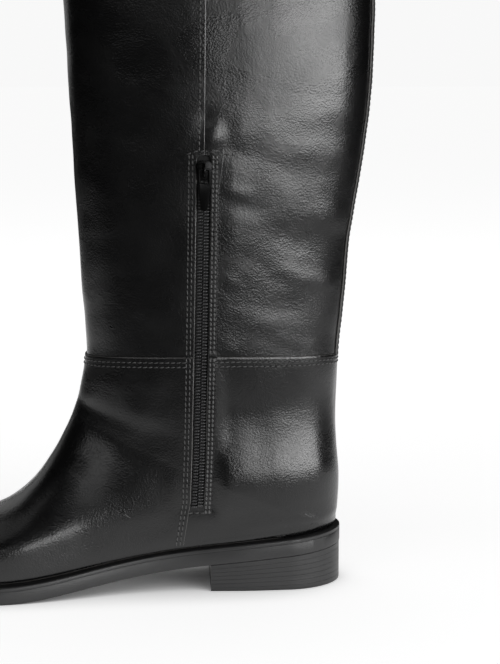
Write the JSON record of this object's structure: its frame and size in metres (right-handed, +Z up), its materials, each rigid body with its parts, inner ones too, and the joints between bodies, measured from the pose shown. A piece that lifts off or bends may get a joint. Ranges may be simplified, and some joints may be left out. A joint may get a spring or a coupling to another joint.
{
  "type": "tall boot",
  "caption": "Tall flat riding-style boot in smooth leather with a hollow foot and leg, a stacked low heel and a zip with a hinged pull tab on its inner side.",
  "frame": {"origin": "on the floor, under the middle of the boot's length and width", "axes": "+Z up, -X to the toe, -Y to the inner side with the zip"},
  "size_m": [0.292, 0.0879, 0.402],
  "materials": {
    "foot_leather": "smooth, half gloss",
    "black_leather": "smooth, half gloss",
    "strip_leather": "smooth, half gloss",
    "outsole_black": "satin",
    "welt_black": "satin",
    "heel_black": "stacked layers, satin",
    "insole_black": "matt",
    "tape_black": "woven, matt",
    "chain_black": "coil",
    "slider_black": "black lacquer",
    "pull_black": "black lacquer"
  },
  "bodies": {
    "boot": {"upper": "foot_leather", "shaft": "black_leather", "back_strip": "strip_leather", "outsole": "outsole_black", "welt": "welt_black", "heel": "heel_black", "insole": "insole_black", "zip_tape": "tape_black", "zip_chain": "chain_black", "zip_slider": "slider_black"},
    "pull": {"zip_pull": "pull_black"}
  },
  "joints": [
    {"name": "pull_swing", "type": "hinge", "parent": "boot", "child": "pull", "pos_m": [0.05294, -0.0396, 0.225], "axis": [-1, 0, 0], "range_deg": [0, 150]}
  ]
}
